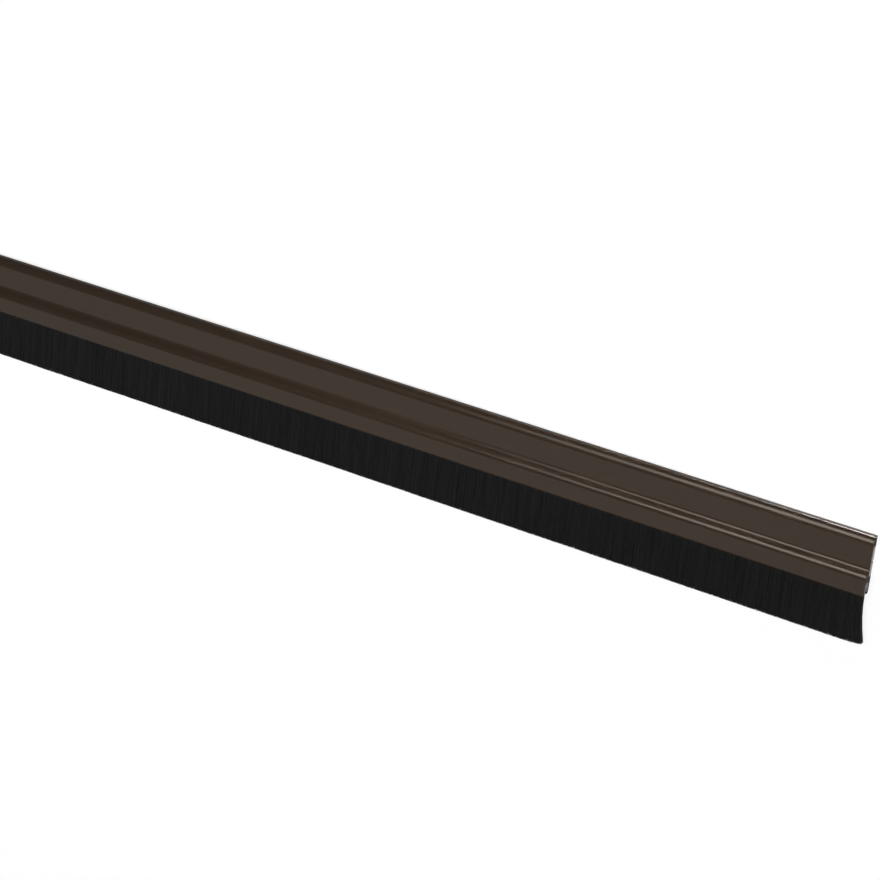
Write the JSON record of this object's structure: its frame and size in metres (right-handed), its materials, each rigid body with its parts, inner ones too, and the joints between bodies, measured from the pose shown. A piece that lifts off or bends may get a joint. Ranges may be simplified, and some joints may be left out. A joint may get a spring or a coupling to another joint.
{
  "type": "brush seal strip",
  "caption": "Length of stepped plastic carrier with a rounded top edge, adhesive back and a row of dark bristles that closes the gap under a door.",
  "frame": {"origin": "middle of the strip, on the plane that its back lies on", "axes": "+X along the strip, +Y across it towards the top edge with the bristles towards -Y, +Z out of the face that shows"},
  "size_m": [1.0048, 0.05, 0.0058],
  "materials": {
    "carrier": "dark brown rigid PVC as extruded, satin with a faint sheen",
    "spine": "galvanised steel strip and wire, dull grey",
    "bristles": "black polypropylene filaments, cut straight at the tips",
    "tape": "light grey closed-cell foam tape, glue on both sides",
    "liner": "waxed paper, off-white"
  },
  "bodies": {
    "root": {"carrier_profile": "carrier", "brush_spine": "spine", "core_wire": "spine", "bristles": "bristles", "adhesive_tape_lower": "tape", "adhesive_tape_upper": "tape", "release_liner_lower": "liner", "release_liner_upper": "liner"}
  },
  "joints": []
}
